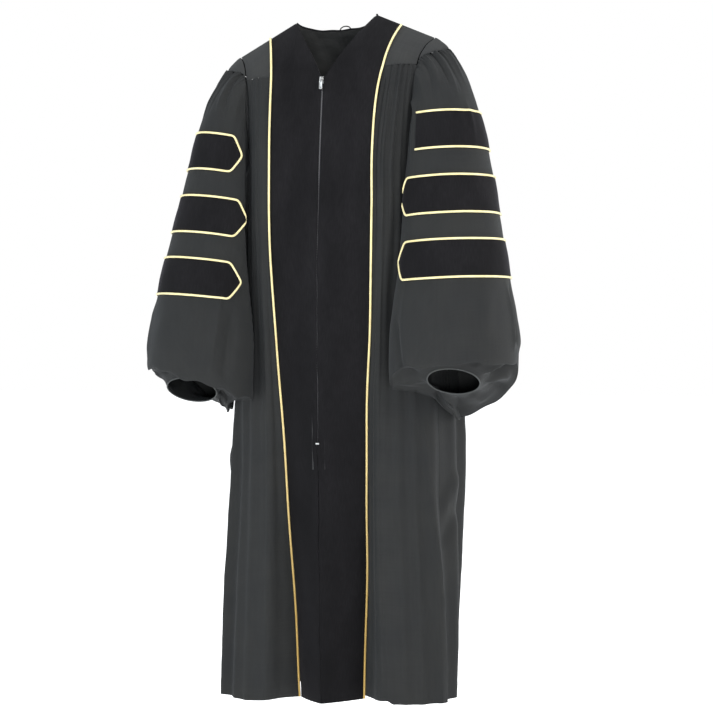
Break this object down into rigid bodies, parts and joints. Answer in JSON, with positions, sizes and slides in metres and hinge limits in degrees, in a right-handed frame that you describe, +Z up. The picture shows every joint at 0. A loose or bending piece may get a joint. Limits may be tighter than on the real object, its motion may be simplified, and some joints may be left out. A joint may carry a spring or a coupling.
{
  "type": "graduation gown",
  "caption": "Doctoral graduation gown, filled out as if worn: black velvet front panels, barred bell sleeves, gold piping, pleated skirt and a front zip with a hinged pull tab.",
  "frame": {"origin": "midway between the wearer's shoulders, at the middle height of the shoulder seams, where the gown is held up", "axes": "+Z up, -Y to the front, +X to the wearer's left; the gown hangs a little lower on the wearer's right"},
  "size_m": [0.7558, 0.3478, 1.3497],
  "materials": {
    "grey_cloth": "charcoal grey matte woven cloth",
    "black_velvet": "black velvet pile",
    "gold_piping": "gold corded piping",
    "zip_tape": "black woven zip tape",
    "zip_metal": "plain silver metal"
  },
  "bodies": {
    "gown": {"back": "grey_cloth", "bar_left_1": "black_velvet", "bar_left_1_piping": "gold_piping", "bar_left_2": "black_velvet", "bar_left_2_piping": "gold_piping", "bar_left_3": "black_velvet", "bar_left_3_piping": "gold_piping", "bar_right_1": "black_velvet", "bar_right_1_piping": "gold_piping", "bar_right_2": "black_velvet", "bar_right_2_piping": "gold_piping", "bar_right_3": "black_velvet", "bar_right_3_piping": "gold_piping", "cap_left": "grey_cloth", "cap_right": "grey_cloth", "front_left": "grey_cloth", "front_right": "grey_cloth", "hang_loop": "black_velvet", "neck_back": "black_velvet", "panel_left": "black_velvet", "panel_right": "black_velvet", "piping_left": "gold_piping", "piping_right": "gold_piping", "sleeve_left": "grey_cloth", "sleeve_right": "grey_cloth", "wrist_left": "grey_cloth", "wrist_right": "grey_cloth", "yoke_back": "grey_cloth", "yoke_left": "grey_cloth", "yoke_right": "grey_cloth", "zip_slider": "zip_metal", "zip_stop": "zip_metal", "zip_tape": "zip_tape"},
    "zip_pull": {"zip_pull": "zip_metal"}
  },
  "joints": [
    {"name": "zip_pull_hinge", "type": "hinge", "parent": "gown", "child": "zip_pull", "pos_m": [0, -0.085, -0.101], "axis": [-1, 0, 0], "range_deg": [0, 150]}
  ]
}
